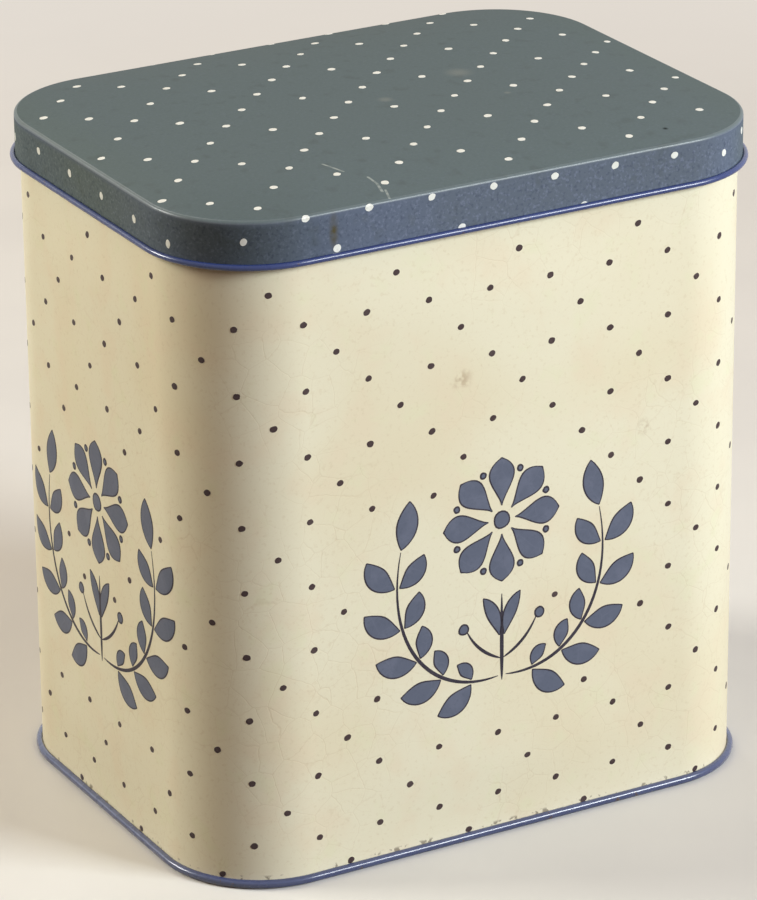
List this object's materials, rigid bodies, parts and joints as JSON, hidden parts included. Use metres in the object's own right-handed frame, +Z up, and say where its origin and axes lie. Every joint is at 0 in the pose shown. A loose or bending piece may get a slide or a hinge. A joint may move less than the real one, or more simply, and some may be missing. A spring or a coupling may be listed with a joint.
{
  "type": "storage tin",
  "caption": "Upright rounded-rectangle tinplate box with a crowned slip lid, rolled edges and a seamed base, printed with dots and leaf sprigs.",
  "frame": {"origin": "on the floor under the middle of the tin", "axes": "+Z up, the long front face looks to -Y, +X to the right seen from the front"},
  "size_m": [0.2064, 0.1554, 0.2224],
  "materials": {
    "wall_print": "satin varnish over cream printed tinplate",
    "base_enamel": "satin blue-grey enamel",
    "lid_print": "satin slate-blue printed tinplate"
  },
  "bodies": {
    "tin": {"body_wall": "wall_print", "base_panel": "base_enamel"},
    "lid_body": {"lid": "lid_print"}
  },
  "joints": [
    {"name": "lid_lift", "type": "slide", "parent": "tin", "child": "lid_body", "axis": [0, 0, 1], "range_m": [0, 0.15]}
  ]
}
